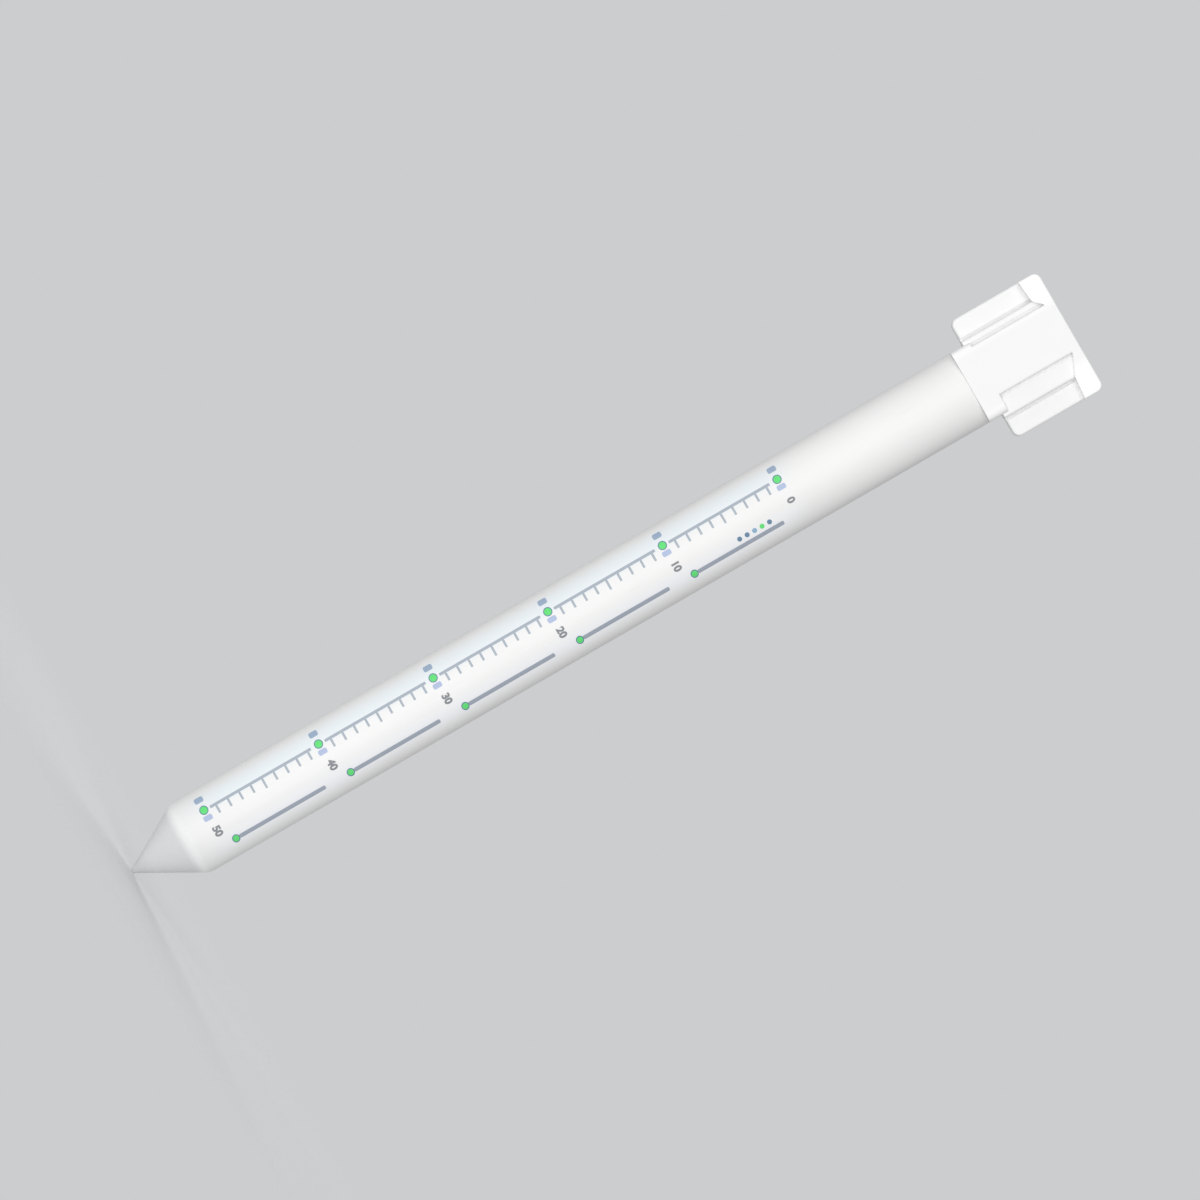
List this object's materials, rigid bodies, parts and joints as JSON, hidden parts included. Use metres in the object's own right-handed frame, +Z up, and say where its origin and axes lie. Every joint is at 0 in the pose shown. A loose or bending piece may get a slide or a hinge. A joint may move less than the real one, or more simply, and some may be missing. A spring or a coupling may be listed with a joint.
{
  "type": "soil moisture probe",
  "caption": "White tubular soil moisture probe with a pointed end, a printed depth scale and a winged grip head that draws out the sensor string inside.",
  "frame": {"origin": "on the tube's axis at the zero mark of the depth scale, which is ground level in use", "axes": "+Z up the axis from the point to the head, +X across the head's wings, -Y out of the head's front panel"},
  "size_m": [0.1016, 0.0602, 0.8196],
  "materials": {
    "tube_white": "satin white pipe plastic",
    "point_grey": "satin light grey plastic",
    "head_white": "satin white moulded plastic",
    "seal_rubber": "black seal rubber",
    "screw_steel": "stainless steel",
    "antenna_ceramic": "fired ceramic",
    "board_green": "solder mask",
    "carrier_plastic": "black moulded nylon",
    "cell_jacket": "shrink sleeve",
    "contact_nickel": "nickel plate",
    "rail_plastic": "natural nylon",
    "ribbon_grey": "flat cable sheath",
    "bobbin_plastic": "natural moulded plastic",
    "band_copper": "bare copper strip"
  },
  "bodies": {
    "tube": {"probe_tube": "tube_white", "drive_point": "point_grey", "point_seals": "seal_rubber"},
    "seals": {"head_seals": "seal_rubber"},
    "head": {"head_shell": "head_white", "top_cover": "head_white", "cover_gasket": "seal_rubber", "cover_screws": "screw_steel", "antenna_patch": "antenna_ceramic", "main_board": "board_green", "board_bracket": "carrier_plastic", "board_screws": "screw_steel", "bracket_screws": "screw_steel", "battery_cradle": "carrier_plastic", "cradle_screws": "screw_steel", "battery_lower": "cell_jacket", "battery_upper": "cell_jacket", "contact_lower": "contact_nickel", "contact_upper": "contact_nickel", "spine_rail": "rail_plastic", "rail_pins": "screw_steel", "rail_foot": "carrier_plastic", "foot_bumper": "seal_rubber", "ribbon_cable": "ribbon_grey", "bobbin_1": "bobbin_plastic", "upper_band_1": "band_copper", "lower_band_1": "band_copper", "oscillator_board_1": "board_green", "bobbin_2": "bobbin_plastic", "upper_band_2": "band_copper", "lower_band_2": "band_copper", "oscillator_board_2": "board_green", "bobbin_3": "bobbin_plastic", "upper_band_3": "band_copper", "lower_band_3": "band_copper", "oscillator_board_3": "board_green", "bobbin_4": "bobbin_plastic", "upper_band_4": "band_copper", "lower_band_4": "band_copper", "oscillator_board_4": "board_green", "bobbin_5": "bobbin_plastic", "upper_band_5": "band_copper", "lower_band_5": "band_copper", "oscillator_board_5": "board_green"}
  },
  "joints": [
    {"name": "head_lift", "type": "slide", "parent": "tube", "child": "seals", "axis": [0, 0, 1], "range_m": [0, 0.7]},
    {"name": "head_turn", "type": "hinge", "parent": "seals", "child": "head", "pos_m": [0, 0, 0.161], "axis": [0, 0, 1], "continuous": true}
  ]
}
